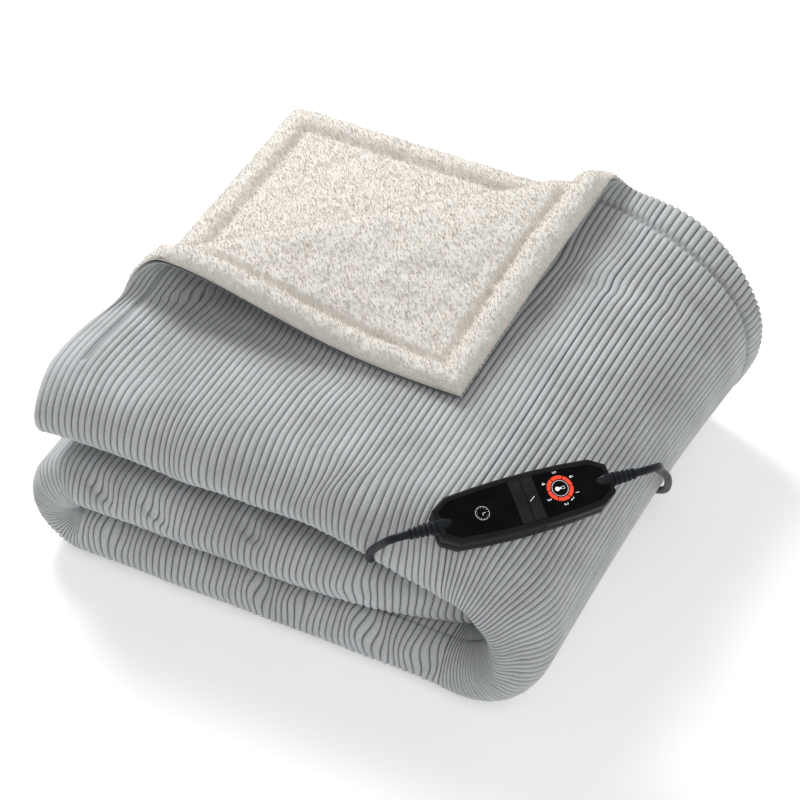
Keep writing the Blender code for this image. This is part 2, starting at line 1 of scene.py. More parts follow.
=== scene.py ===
"""Electric heated blanket, folded into a pack, with its handset, leads, coil and plug.

The blanket is two cloths sewn edge to edge: a ribbed corduroy cover and a sherpa lining.  It is
folded in half twice across its ribs, which gives a strip of four layers, and the strip is folded
in three along its length.  The top layer's back left corner is turned over, so the lining shows.

Fold coordinates: u counts the five stretches of the strip and v its seven layers and turns.
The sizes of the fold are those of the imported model, and ORIGIN moves them to its frame.
"""

import math

import bmesh
import bpy
import numpy as np
from bpy.props import FloatProperty, FloatVectorProperty, PointerProperty
from mathutils import Euler, Matrix, Vector, noise


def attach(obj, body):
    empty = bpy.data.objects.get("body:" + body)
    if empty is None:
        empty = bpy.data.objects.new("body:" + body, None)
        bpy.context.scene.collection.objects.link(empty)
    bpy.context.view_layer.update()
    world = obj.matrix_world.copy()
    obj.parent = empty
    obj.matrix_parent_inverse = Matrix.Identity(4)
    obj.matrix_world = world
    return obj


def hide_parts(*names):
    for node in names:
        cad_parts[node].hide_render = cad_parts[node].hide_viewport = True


bl_info = {
    "name": "Electric heated blanket",
    "version": (1, 0, 0),
    "blender": (4, 5, 0),
    "location": "3D View > Sidebar > Blanket",
    "description": "Builds a folded heated blanket with its handset and leads",
    "category": "Object",
}

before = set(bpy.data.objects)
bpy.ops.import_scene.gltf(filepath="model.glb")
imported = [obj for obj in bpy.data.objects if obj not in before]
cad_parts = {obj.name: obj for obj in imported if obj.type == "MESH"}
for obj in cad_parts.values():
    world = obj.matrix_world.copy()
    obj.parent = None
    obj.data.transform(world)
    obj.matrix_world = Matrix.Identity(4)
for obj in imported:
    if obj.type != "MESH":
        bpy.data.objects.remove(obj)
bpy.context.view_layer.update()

MM = 0.001

# ---- the fold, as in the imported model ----
ORIGIN = Vector((0.22957, 0.21744, 0.0))
PACK_HEIGHT = 0.182
PACK_DEPTH = 0.455
PACK_LENGTH = 0.465
TOP_LENGTH = 0.369
FOLD_X = 0.0325
MIDDLE_END_X = 0.379
COVER = 0.003
LINING = 0.007
SEAM_GAP = 0.0005
HALF_LAYER = (COVER + SEAM_GAP + LINING) / 2
SEAM_SHIFT = HALF_LAYER - COVER - SEAM_GAP / 2
PITCH_TOP = 0.019
PITCH_LOW = 0.0135
LIP_TOP = 0.0448
LIP_LOW = 1.5 * PITCH_LOW + SEAM_SHIFT
STRETCH_GAP = 0.003
HALF_TOP = 1.5 * PITCH_TOP + HALF_LAYER
HALF_LOW = 1.5 * PITCH_LOW + HALF_LAYER
Z_TOP = PACK_HEIGHT - HALF_TOP
Z_LOW = HALF_LOW
Z_MIDDLE = Z_LOW + 2 * HALF_LOW + STRETCH_GAP
WRAP_RADIUS = (Z_TOP - Z_LOW) / 2
WRAP_Z = (Z_TOP + Z_LOW) / 2
FOLD_RADIUS = (Z_MIDDLE - Z_LOW) / 2
FOLD_Z = (Z_MIDDLE + Z_LOW) / 2
LOW_REACH = 0.007
BACK_PULL = 0.11
WRAP_SPREAD = 0.026
HANG = ((0.66, 0.82, 1.0, 1.25, 1.5, 1.8, 2.0), (0.0, 0.008, 0.024, 0.027, 0.019, 0.006, 0.0))
HEM_STEP = 0.004
FRONT = LIP_TOP + COVER + SEAM_GAP / 2
FIRST_DEPTH = PACK_DEPTH - FRONT

# ---- the turned-over corner ----
TURN_START = (0.0, 0.103)
TURN_LENGTH = (PACK_DEPTH - TURN_START[1]) * math.sqrt(2)
TURN_RADIUS = (0.020, 0.012)
TURN_REST = 2 * (COVER + SEAM_GAP / 2) + 0.0015
TURN_EASE = 0.105
TURN_DRAW = 0.016
TURN_WAVE = 0.004

# ---- the ribs ----
RIBS = (62, 50, 56, 27, 58)     # in each stretch, counted on the outside
RIB_MARKS = np.concatenate(([0], np.cumsum(RIBS)))
HEM = 0.027                     # from an edge to its line of stitching
STITCH_DEPTH = 0.0038           # of the groove that the stitching draws in
THINNEST = 0.0008               # the cover's least height over the seam surface
RIB_COLUMNS = 6                 # columns of faces to a rib where the cover shows
COLUMNS = [ribs * RIB_COLUMNS for ribs in RIBS]
INNER_COLUMNS = 4               # and where it doesn't
COVER_WALL = 0.0011

# ---- the lining ----
PILE_WALL = 0.002
BASE_WALL = 0.0058
BASE_DROP = 0.0006              # the base lining lies this far below the seam surface
CLUMP_SIZE = 0.0042
CLUMP_SEED = 7
TUFTS_PER_AREA = 170000
TUFT_SEED = 7
TUFT_RADIUS = 0.00055
TUFT_LENGTH = 0.0024

# ---- the handset and leads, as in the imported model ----
HANDSET_AT = Vector((0.4135, 0.0481, 0.1952))
HANDSET_TURN = Euler((math.radians(23.0), math.radians(2.0), math.radians(48.5)))
BODY_HALF_LENGTH = 73 * MM
BOOT_TAIL = 21 * MM
BOOT_DEPTH = 5.2 * MM
PART_GAP = 0.3 * MM
CORD_RADIUS = 3.25 * MM
COIL_RADIUS = 38 * MM
COIL_TURNS = 6
COIL_AT = Vector((0.290, 0.519, 0.0))
COIL_BASE = 2.0 * MM
FLOOR_GAP = 0.2 * MM
GAP_Z = (Z_TOP - HALF_TOP + Z_MIDDLE + HALF_LOW) / 2
PLUG_AT = Vector((0.150, 0.487, 6.85 * MM + FLOOR_GAP))
PLUG_BOOT = 16 * MM

# ---- the camera ----
CAMERA_TARGET = Vector((0.230, 0.205, 0.091)) - ORIGIN
CAMERA_AZIMUTH = math.radians(26.24)
CAMERA_ELEVATION = math.radians(43.39)


class BlanketCloth(bpy.types.PropertyGroup):
    """Sizes and colours of the two cloths."""

    rib_depth: FloatProperty(
        name="Rib depth", description="Depth of the grooves between ribs", default=0.0022,
        min=0.0, max=0.003, unit="LENGTH",
    )
    pile_depth: FloatProperty(
        name="Pile depth", description="Depth of the clumps in the lining's pile", default=0.0020,
        min=0.0, max=0.005, unit="LENGTH",
    )
    cover_colour: FloatVectorProperty(
        name="Cover", description="Colour of the ribs", subtype="COLOR", size=3,
        default=(0.55, 0.565, 0.575), min=0.0, max=1.0,
    )
    # painted shade: the grooves get this darker colour to stand in for the shade that falls in them
    groove_shade_colour: FloatVectorProperty(
        name="Grooves", description="Colour between the ribs", subtype="COLOR", size=3,
        default=(0.135, 0.14, 0.145), min=0.0, max=1.0,
    )
    lining_colour: FloatVectorProperty(
        name="Lining", description="Colour of the pile's tips", subtype="COLOR", size=3,
        default=(0.73, 0.695, 0.64), min=0.0, max=1.0,
    )
    # painted shade: the colour the pile takes in its hollows and sewn channels, standing in for the shade
    # there
    lining_hollow_shade: FloatVectorProperty(
        name="Lining hollows", description="Colour between the pile's clumps", subtype="COLOR",
        size=3, default=(0.64, 0.605, 0.545), min=0.0, max=1.0,
    )


class BlanketHandset(bpy.types.PropertyGroup):
    """Colours of the handset and its leads."""

    housing_colour: FloatVectorProperty(
        name="Housing", description="Colour of the housing", subtype="COLOR", size=3,
        default=(0.008, 0.009, 0.010), min=0.0, max=1.0,
    )
    ring_colour: FloatVectorProperty(
        name="Ring", description="Colour of the glowing ring", subtype="COLOR", size=3,
        default=(0.72, 0.030, 0.012), min=0.0, max=1.0,
    )
    cord_colour: FloatVectorProperty(
        name="Cords", description="Colour of the cords", subtype="COLOR", size=3,
        default=(0.010, 0.012, 0.015), min=0.0, max=1.0,
    )


class BlanketStage(bpy.types.PropertyGroup):
    """Camera and light."""

    camera_distance: FloatProperty(
        name="Camera distance", description="From the camera to the middle of the pack",
        default=2.212, min=0.5, max=10.0, unit="LENGTH",
    )
    lens: FloatProperty(
        name="Lens", description="Focal length", default=117.0, min=20.0, max=300.0,
        subtype="NONE",
    )
    key_power: FloatProperty(
        name="Key light", description="Power of the main light", default=50.0, min=0.0,
        max=500.0, unit="POWER",
    )
    floor_colour: FloatVectorProperty(
        name="Floor", description="Colour of the floor", subtype="COLOR", size=3,
        default=(0.9, 0.9, 0.9), min=0.0, max=1.0,
    )


# ---- small helpers ----
def mix(start, end, share):
    return start + (end - start) * share


def smooth_step(value):
    value = np.clip(value, 0.0, 1.0)
    return value * value * (3 - 2 * value)


def hill(distance, width):
    """A soft bump that is 1 at distance 0 and fades over width."""
    return np.exp(-((distance / width) ** 2))


def add_piece(name, mesh, material=None, body="root"):
    thing = bpy.data.objects.new(name, mesh)
    bpy.context.scene.collection.objects.link(thing)
    if material:
        mesh.materials.append(material)
    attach(thing, body)
    return thing


def apply_modifiers(thing):
    graph = bpy.context.evaluated_depsgraph_get()
    mesh = bpy.data.meshes.new_from_object(thing.evaluated_get(graph))
    mesh.name = thing.name
    thing.modifiers.clear()
    thing.data = mesh
    return thing


def finish_nodes(material, *nodes):
    for node in nodes:
        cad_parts[node].material_slots[0].material = material


def thicken(thing, thickness):
    """Give a cloth its wall, on the side away from its normals."""
    solidify = thing.modifiers.new("thickness", "SOLIDIFY")
    solidify.thickness = thickness
    solidify.offset = -1.0
    return solidify


class Finish:
    """A material and a short way to add nodes to it."""

    def __init__(self, name, **values):
        self.material = bpy.data.materials.new(name)
        self.material.use_nodes = True
        self.tree = self.material.node_tree
        self.shader = self.tree.nodes["Principled BSDF"]
        self.set(self.shader, values)

    def feed(self, socket, value):
        """Link an output to a socket, or set a plain number or colour on it."""
        if isinstance(value, bpy.types.NodeSocket):
            self.tree.links.new(value, socket)
        elif hasattr(socket.default_value, "__len__") and len(socket.default_value) == 4:
            socket.default_value = (*tuple(value)[:3], 1.0)
        else:
            socket.default_value = value

    def set(self, node, values):
        for key, value in values.items():
            self.feed(node.inputs[key.replace("_", " ")], value)

    def add(self, kind, settings=None, inputs=None):
        node = self.tree.nodes.new("ShaderNode" + kind)
        for key, value in (settings or {}).items():
            setattr(node, key, value)
        self.set(node, inputs or {})
        return node

    def math(self, operation, first, second=0.0):
        node = self.add("Math", {"operation": operation})
        self.feed(node.inputs[0], first)
        self.feed(node.inputs[1], second)
        return node.outputs[0]

    def noise(self, scale, detail=2.0, rough=0.5, vector=None):
        vector = vector or self.add("TexCoord").outputs["Object"]
        inputs = {"Vector": vector, "Scale": scale, "Detail": detail, "Roughness": rough}
        return self.add("TexNoise", None, inputs).outputs["Fac"]

    def range(self, value, low, high, to_low=0.0, to_high=1.0):
        inputs = {"Value": value, "From Min": low, "From Max": high}
        inputs |= {"To Min": to_low, "To Max": to_high}
        return self.add("MapRange", None, inputs).outputs["Result"]

    def blend(self, factor, first, second):
        node = self.add("Mix", {"data_type": "RGBA"})
        self.tree.links.new(factor, node.inputs["Factor"])
        for key, value in (("A", first), ("B", second)):
            self.feed([s for s in node.inputs if s.name == key and s.type == "RGBA"][0], value)
        return [s for s in node.outputs if s.type == "RGBA"][0]

    def bump(self, height, strength, distance, below=None):
        inputs = {"Height": height, "Strength": strength, "Distance": distance}
        if below:
            inputs["Normal"] = below
        return self.add("Bump", None, inputs).outputs["Normal"]


# ---- finishes ----
def corduroy_finish():
    """Plush ribs with painted shade darkening the grooves, fine short pile and faint shading from rib to
    rib.
    """
    cloth = bpy.context.scene.blanket_cloth
    finish = Finish("plush corduroy", Roughness=0.95)
    uv = finish.add("UVMap", {"uv_map": "ribs"}).outputs["UV"]
    split = finish.add("SeparateXYZ", None, {"Vector": uv})
    across = finish.math("FRACT", split.outputs["X"])
    side = finish.math("MULTIPLY", finish.math("ABSOLUTE", finish.math("SUBTRACT", across, 0.5)), 2.0)
    # painted shade: a mask of the grooves between the ribs, where the colour is darkened as shade
    groove_shade_mask = finish.range(side, 0.58, 1.0)
    groove_shade_mask = finish.math("POWER", groove_shade_mask, 1.4)
    patches = finish.noise(26.0, 3.0, 0.6)
    pile = finish.noise(900.0, 3.0, 0.7)
    light = [min(1.0, value * 1.13) for value in cloth.cover_colour]
    dull = [value * 0.90 for value in cloth.cover_colour]
    plain = finish.blend(finish.range(patches, 0.3, 0.7), dull, light)
    speckled = finish.blend(finish.range(pile, 0.35, 0.7, 0.0, 0.36), plain, cloth.groove_shade_colour)
    seam = finish.add("Attribute", {"attribute_name": "seam"}).outputs["Fac"]
    # painted shade in the grooves, together with the dark stitch lines from the seam attribute
    dark = finish.math("MAXIMUM", groove_shade_mask, finish.math("MULTIPLY", seam, 0.8))
    colour = finish.blend(dark, speckled, cloth.groove_shade_colour)
    normal = finish.bump(pile, 0.55, 0.0010)
    finish.set(finish.shader, {
        "Base Color": colour, "Normal": normal, "Sheen Weight": 0.35, "Sheen Roughness": 0.5,
        "Sheen Tint": (0.85, 0.87, 0.9), "Specular IOR Level": 0.2,
    })
    return finish.material


def sherpa_finish():
    """Cream pile in small clumps, with painted shade darkening the hollows between the clumps and the
    sewn channels.
    """
    cloth = bpy.context.scene.blanket_cloth
    finish = Finish("sherpa pile", Roughness=1.0)
    painted_hollow_shade = finish.add("Attribute", {"attribute_name": "painted_hollow_shade"}).outputs["Fac"]
    fine = finish.noise(420.0, 4.0, 0.65)
    hairs = finish.noise(1700.0, 2.0, 0.6)
    # painted shade from the hollow attribute, plus random tone from the fine noise
    shade = finish.math("ADD", painted_hollow_shade, finish.range(fine, 0.4, 0.75, 0.0, 0.22))
    colour = finish.blend(finish.range(shade, 0.05, 1.0), cloth.lining_colour, cloth.lining_hollow_shade)
    normal = finish.bump(fine, 0.5, 0.0012)
    normal = finish.bump(hairs, 0.35, 0.0005, normal)
    finish.set(finish.shader, {
        "Base Color": colour, "Normal": normal, "Sheen Weight": 0.4, "Sheen Roughness": 0.6,
        "Sheen Tint": (1.0, 0.97, 0.92), "Specular IOR Level": 0.1,
    })
    return finish.material


def moulded_finish(name, colour, rough, grain=2600.0, strength=0.12, coat=0.0):
    """Moulded plastic or rubber with a fine grain and slightly uneven gloss."""
    finish = Finish(name)
    patches = finish.noise(55.0, 3.0, 0.6)
    fine = finish.noise(grain, 2.0, 0.5)
    worn = [min(1.0, value * 1.25 + 0.002) for value in colour]
    finish.set(finish.shader, {
        "Base Color": finish.blend(finish.range(patches, 0.35, 0.7), colour, worn),
        "Roughness": finish.range(patches, 0.3, 0.7, rough - 0.05, rough + 0.06),
        "Normal": finish.bump(fine, strength, 0.0002),
        "Coat Weight": coat, "Coat Roughness": 0.05, "Specular IOR Level": 0.12,
    })
    return finish.material


def metal_finish():
    """Nickel-plated pins with fine drawn lines."""
    finish = Finish("nickel pins", Metallic=1.0)
    place = finish.add("TexCoord").outputs["Object"]
    stretched = finish.add("Mapping", None, {"Vector": place, "Scale": (60.0, 2400.0, 2400.0)})
    lines = finish.noise(1.0, 2.0, 0.5, stretched.outputs["Vector"])
    finish.set(finish.shader, {
        "Base Color": finish.blend(lines, (0.58, 0.56, 0.52), (0.75, 0.73, 0.69)),
        "Roughness": finish.range(lines, 0.2, 0.8, 0.22, 0.38),
    })
    return finish.material


def glow_finish():
    """The lit ring behind the dark window."""
    colour = bpy.context.scene.blanket_handset.ring_colour
    finish = Finish("lit ring", Roughness=0.3)
    cells = finish.noise(700.0, 1.0, 0.5)
    finish.set(finish.shader, {
        "Base Color": finish.blend(cells, colour, (0.95, 0.10, 0.04)),
        "Emission Color": colour, "Emission Strength": 0.4,
    })
    return finish.material


def glowing_print_finish():
    """White print on the window, with a painted glow: the ink emits light though it is no lamp."""
    finish = Finish("white print", Roughness=0.45)
    specks = finish.noise(3000.0, 1.0, 0.5)
    finish.set(finish.shader, {
        "Base Color": finish.blend(specks, (0.78, 0.80, 0.82), (0.9, 0.91, 0.92)),
        # painted glow: emission on the ink, which gives no light of its own
        "Emission Color": (0.8, 0.82, 0.85), "Emission Strength": 0.4,
    })
    return finish.material


# ---- the folded cloth ----
def pull_at(distance):
    """Share of its depth lost by the cloth, this far along the strip."""
    return BACK_PULL * np.minimum(1.0, distance / (PACK_LENGTH + FOLD_X)) ** 2


def strip_distance(u):
    """Distance along the strip from its top end, through the wrap."""
    wrapped = TOP_LENGTH + WRAP_RADIUS * np.pi * (u - 1)
    return np.where(u <= 1, TOP_LENGTH * u, wrapped)


def stretch_at(u):
    """The strip's middle: x, z, outward normal, pitch, lip depth, back pull and front reach."""
    stretch = np.clip(np.floor(u).astype(int), 0, len(RIBS) - 1)
    share = u - stretch
    turn = np.pi * share
    ease = smooth_step(share)
    same = np.ones_like(u)
    sine, cosine = np.sin(turn), np.cos(turn)
    along = TOP_LENGTH * share

    def pick(*values):
        return np.choose(stretch, [value * same for value in values])

    x = pick(along, TOP_LENGTH + WRAP_RADIUS * sine, mix(TOP_LENGTH, FOLD_X, share),
             FOLD_X - FOLD_RADIUS * sine, mix(FOLD_X, MIDDLE_END_X, share))
    z = pick(Z_TOP, WRAP_Z + WRAP_RADIUS * cosine, Z_LOW, FOLD_Z - FOLD_RADIUS * cosine, Z_MIDDLE)
    normal_x = pick(0.0, sine, 0.0, -sine, 0.0)
    normal_z = pick(1.0, cosine, -1.0, -cosine, 1.0)
    pitch = pick(PITCH_TOP, mix(PITCH_TOP, PITCH_LOW, ease), PITCH_LOW, PITCH_LOW, PITCH_LOW)
    lip = pick(LIP_TOP, mix(LIP_TOP, LIP_LOW, ease), LIP_LOW, LIP_LOW, LIP_LOW)
    pull = pick(pull_at(along), pull_at(TOP_LENGTH + WRAP_RADIUS * turn),
                BACK_PULL * (1 - ease), 0.0, 0.0)
    reach = LOW_REACH * pick(0.0, ease, 1.0, 1.0, 1.0)
    return x, z, normal_x, normal_z, pitch, lip, pull, reach


def layer_at(v, pitch, lip, reach):
    """Depth y and height above the strip's middle."""
    layer = np.clip(np.floor(v).astype(int), 0, 6)
    share = v - layer
    front = lip + COVER + SEAM_GAP / 2 - reach
    back = PACK_DEPTH - 3 * HEM_STEP
    outer = 1.5 * pitch + SEAM_SHIFT
    inner = 0.5 * pitch - SEAM_SHIFT
    turn = 0.5 * pitch + SEAM_SHIFT
    sine, cosine = np.sin(np.pi * share), np.cos(np.pi * share)
    y = np.choose(layer, [
        mix(PACK_DEPTH, front, share), front - lip * sine, mix(front, back, share),
        back + turn * sine, mix(back, front, share), front - inner * sine,
        mix(front, PACK_DEPTH - HEM_STEP, share),
    ])
    height = np.choose(layer, [
        outer, outer * cosine, -outer, -pitch - turn * cosine, -inner, -inner * cosine, inner,
    ])
    return y, height


def turned_corner(x, y):
    """Where points of the flat first layer land once its corner is turned over, and their lift."""
    along = (x - TURN_START[0] + y - TURN_START[1]) / math.sqrt(2)
    across = (y - TURN_START[1] - x + TURN_START[0]) / math.sqrt(2)
    radius = mix(*TURN_RADIUS, np.clip(along / TURN_LENGTH, 0.0, 1.0))
    angle = across / radius
    flat = np.pi * radius - across
    reach = np.where(angle < np.pi, radius * np.sin(angle), flat)
    rest = mix(TURN_REST, 2 * radius, hill(flat, TURN_EASE))
    lift = np.where(angle < np.pi, radius * (1 - np.cos(angle)), rest)
    lift = lift + TURN_WAVE * np.sin(along * 22.0 + 0.6) * smooth_step((across - 0.03) / 0.06)
    along = along + TURN_DRAW * np.exp(-along / 0.03) * smooth_step(across / 0.02)
    turned = across > 0
    new_x = TURN_START[0] + (along - reach) / math.sqrt(2)
    new_y = TURN_START[1] + (along + reach) / math.sqrt(2)
    return np.where(turned, new_x, x), np.where(turned, new_y, y), np.where(turned, lift, 0.0)


# soft troughs and ridges: rib number, v, half width in ribs, half length in v,
# lean in ribs per v, depth in mm (negative is a trough), sideways pull in ribs
CREASES = (
    (12.0, 0.93, 5.0, 0.30, 8.0, -2.5, 0.8),
    (30.0, 1.25, 6.0, 0.25, -10.0, -4.0, 1.2),
    (44.0, 1.18, 4.0, 0.22, -14.0, -3.0, -1.0),
    (52.0, 1.45, 5.0, 0.35, 10.0, -5.0, 1.5),
    (22.0, 1.50, 4.0, 0.30, 6.0, -3.5, -1.0),
    # under the turned corner's arch
    (12.0, 0.72, 7.0, 0.060, 0.0, -5.0, 1.5),
    (22.0, 0.765, 8.0, 0.060, 0.0, -5.0, 1.0),
    (32.0, 0.81, 7.0, 0.050, 0.0, -4.0, 0.8),
    # beside the corner's right edge, and the soft crease inside the back hem
    (51.0, 0.34, 4.0, 0.10, 12.0, -3.0, 1.4),
    (56.0, 0.24, 4.0, 0.06, -20.0, -2.5, -1.2),
    (60.0, 0.280, 5.0, 0.022, 0.0, -2.4, 0.3),
    (66.0, 0.240, 5.0, 0.022, 0.0, -2.6, 0.4),
    (72.0, 0.180, 5.0, 0.022, 0.0, -2.2, 0.3),
    # pinches in the lower rolls
    (199.0, 1.30, 1.8, 0.14, 10.0, -7.0, 1.2),
    (207.5, 1.32, 1.8, 0.13, 10.0, -7.5, 1.2),
    (222.0, 1.18, 2.0, 0.12, 8.0, -6.5, 1.0),
    (238.0, 1.45, 2.0, 0.12, -6.0, -3.0, 0.8),
    (163.0, 1.75, 2.4, 0.18, 0.0, -10.0, 1.5),
    (140.0, 1.72, 1.7, 0.20, 5.0, -8.0, 1.2),
    (133.0, 1.78, 1.7, 0.16, -5.0, -6.0, 1.0),
    (123.0, 1.70, 2.4, 0.24, 7.0, -7.0, 1.5),
    (115.0, 1.60, 2.2, 0.20, -5.0, -4.0, 1.2),
    (189.0, 1.60, 3.0, 0.25, 0.0, -5.0, 2.0),
)


def ripple(rib, v, seed, count=7, size=1.0):
    """A slow uneven wave over the cloth, the same each time."""
    random = np.random.default_rng(seed)
    total = np.zeros_like(rib)
    for _ in range(count):
        across, along = random.uniform(0.03, 0.22), random.uniform(1.5, 9.0)
        total += np.sin(rib * across * size + v * along * size + random.uniform(0, 6.28))
    return total / count


def crease(rib, v):
    """Height and sideways shift from the creases, in metres and ribs."""
    height = 0.0012 * ripple(rib, v, 3)
    shift = 0.35 * ripple(rib, v, 5)
    low = smooth_step((rib - 100) / 20) * hill(v - 1.4, 0.8)
    height = height + low * 0.0014 * ripple(rib, v, 8, 9, 1.6)
    shift = shift + low * 0.35 * ripple(rib, v, 9, 9, 1.6)
    for middle, at, ribs, length, lean, depth, pull in CREASES:
        off = (rib - middle - lean * (v - at)) / ribs
        bump = np.exp(-(off**2) - ((v - at) / length) ** 2)
        height = height + depth * MM * bump
        shift = shift + pull * bump * off
    return height, shift


def rib_at(u):
    return np.interp(u, np.arange(len(RIB_MARKS)), RIB_MARKS)


def fold(u, v):
    """Fold coordinates to the frame's points, with the creases."""
    rib = rib_at(u)
    bump, shift = crease(rib, v)
    stretch = np.clip(np.floor(u).astype(int), 0, len(RIBS) - 1)
    shift = shift * np.clip(np.minimum(u, 5 - u) * 12, 0, 1) * (v <= 2)
    u = np.clip(u + shift / np.array(RIBS)[stretch], 0.0, 4.99999)
    x, z, normal_x, normal_z, pitch, lip, pull, reach = stretch_at(u)
    y, height = layer_at(v, pitch, lip, reach)
    first = (u <= 1) & (v <= 1)
    y_flat = y
    turned_x, turned_y, lift = turned_corner(x, y)
    turned = first & (turned_y != y)
    x, y = np.where(first, turned_x, x), np.where(first, turned_y, y)
    behind = (y_flat - TURN_START[1] - strip_distance(u)) / math.sqrt(2)
    pull = pull * mix(0.25, 1.0, smooth_step(-behind / 0.06))
    y = y * (1 - pull)
    height = height + np.where(first, lift, 0.0)
    bump = bump * smooth_step((normal_z + 1.0) / 0.4)
    height = height + np.where(v <= 2, bump, 0.0) * np.where(turned, 0.0, 1.0)
    # the free end of the top stretch droops and bulges to the left
    top = u <= 1
    share = np.clip((height + HALF_TOP) / (2 * HALF_TOP), 0.0, 1.0)
    near_end = np.clip(1 - x / 0.042, 0.0, 1.5) ** 2
    front_part = 1 - 0.6 * smooth_step((y - 0.09) / 0.09)
    height = height - np.where(top, 0.013 * near_end * share * front_part, 0.0)
    bulge = 0.012 * hill(y - 0.062, 0.055) * np.exp(-np.maximum(x, 0) / 0.05) * share
    x = x - np.where(top, bulge, 0.0)
    x = x + WRAP_SPREAD * np.maximum(0.0, normal_x) * np.maximum(0.0, y / PACK_DEPTH) ** 3
    place = np.stack([x + normal_x * height, y, z + normal_z * height], axis=-1)
    # the front fold hangs lower towards the wrap and covers the middle stretch's end
    hang = np.interp(u, *HANG)
    under = smooth_step((v - 1.2) / 0.7) * (1 - smooth_step((v - 2.0) / 0.4))
    place[..., 2] -= hang * under
    place[..., 0] -= 0.12 * hang * under * smooth_step((u - 1.0) / 0.3)
    place[..., 1] -= 0.5 * hang * np.sin(np.pi * np.clip(v - 1, 0, 1)) ** 2 * smooth_step((v - 1.4) / 0.3)
    place[..., 1] -= 0.013 * hill(u - 1.72, 0.22) * hill(v - 1.15, 0.45)
    end = np.clip((u - 4.5) / 0.5, 0.0, 1.0) ** 2.5 * (u > 4)
    place[..., 1] += 0.034 * end * (1 - np.clip(y / 0.2, 0.0, 1.0))
    place[..., 2] -= 0.010 * end
    return place - np.array(ORIGIN)


def surface(u, v):
    """Points of the seam surface and its normals on the cover's side."""
    step = 1e-4
    place = fold(u, v)
    ahead_u = np.where(u + step > np.floor(u) + 1 - 1e-9, -step, step)
    ahead_v = np.where(v + step > np.floor(v) + 1 - 1e-9, -step, step)
    along_u = (fold(u + ahead_u, v) - place) / ahead_u[:, None]
    along_v = (fold(u, v + ahead_v) - place) / ahead_v[:, None]
    normal = np.cross(along_v, along_u)
    normal /= np.maximum(np.linalg.norm(normal, axis=1), 1e-12)[:, None]
    return place, normal


def stops(start, *spans):
    """Values from start on: each span is (end, number of steps)."""
    values = [start]
    for end, steps in spans:
        begin = values[-1]
        values += [begin + (end - begin) * step / steps for step in range(1, steps + 1)]
    return np.array(values)


def sheet_mesh(name, u_values, v_values, keep=None):
    """A flat grid of the cloth in fold coordinates, cut along a line if keep gives one."""
    bm = bmesh.new()
    bmesh.ops.create_grid(bm, x_segments=len(u_values) - 1, y_segments=len(v_values) - 1, size=0.5)
    for vert in bm.verts:
        vert.co.x = np.interp(vert.co.x + 0.5, np.linspace(0, 1, len(u_values)), u_values)
        vert.co.y = np.interp(vert.co.y + 0.5, np.linspace(0, 1, len(v_values)), v_values)
    if keep:
        point, direction = keep
        bmesh.ops.bisect_plane(
            bm, geom=[*bm.verts, *bm.edges, *bm.faces], dist=1e-7, plane_co=(*point, 0),
            plane_no=(*direction, 0), clear_inner=True,
        )
    bmesh.ops.reverse_faces(bm, faces=bm.faces)
    mesh = bpy.data.meshes.new(name)
    bm.to_mesh(mesh)
    bm.free()
    return mesh


def fold_coordinates(mesh):
    """u and v of each point of a sheet that is still flat."""
    places = np.empty(len(mesh.vertices) * 3)
    mesh.vertices.foreach_get("co", places)
    return places[0::3], places[1::3]


def write_places(mesh, places):
    mesh.vertices.foreach_set("co", places.astype(np.float32).ravel())
    mesh.update()


def write_attribute(mesh, name, values):
    attribute = mesh.attributes.new(name, "FLOAT", "POINT")
    attribute.data.foreach_set("value", values.astype(np.float32))


def write_uv(mesh, name, across, along):
    corners = np.empty(len(mesh.loops), dtype=np.int32)
    mesh.loops.foreach_get("vertex_index", corners)
    layer = mesh.uv_layers.new(name=name)
    layer.uv.foreach_set("vector", np.stack([across[corners], along[corners]], 1).ravel())


def edge_distances(u, v):
    """Distance of a first or second layer's point from the blanket's back hem and left hem."""
    back = np.where(v <= 1, v * FIRST_DEPTH, (7 - v) * (PACK_DEPTH - FRONT))
    return back, u * TOP_LENGTH


def cover_piece(name, u_values, v_values, material):
    """Part of the ribbed cover: rounded ribs with narrow grooves, hems and stitch lines."""
    cloth = bpy.context.scene.blanket_cloth
    mesh = sheet_mesh(name, u_values, v_values)
    u, v = fold_coordinates(mesh)
    point, normal = surface(u, v)
    rib = rib_at(u)
    across = np.abs(2 * (rib - np.floor(rib + 1e-6)) - 1)
    rise = 1 - np.clip(across, 0, 1) ** 3.2
    number = np.floor(rib + 1e-6)
    uneven = 1 + 0.12 * np.sin(number * 12.9898) + 0.08 * np.sin(number * 4.1 + v * 9)
    height = SEAM_GAP / 2 + COVER - cloth.rib_depth * (1 - rise * uneven)
    back, left = edge_distances(u, v)
    outer = (v <= 1) | (v >= 6)
    back_line = hill(back - HEM, 0.0030) * outer
    left_line = hill(left - HEM, 0.0022) * (u <= 1) * outer
    height -= STITCH_DEPTH * np.maximum(back_line, left_line) * (0.75 + 0.25 * np.sin(rib * 2.1))
    height += 0.0008 * hill(back - 0.014, 0.009) * outer
    seam = np.maximum(back_line, left_line) * (0.7 + 0.3 * np.sin(rib * 6.283))
    write_attribute(mesh, "seam", seam)
    points = point + normal * np.maximum(height, THINNEST)[:, None]
    points[:, 2] = np.maximum(points[:, 2], 0.0)
    write_places(mesh, points)
    write_uv(mesh, "ribs", rib, v * 0.4)
    mesh.shade_smooth()
    thing = add_piece(name, mesh, material)
    thicken(thing, COVER_WALL)
    apply_modifiers(thing)
    return thing


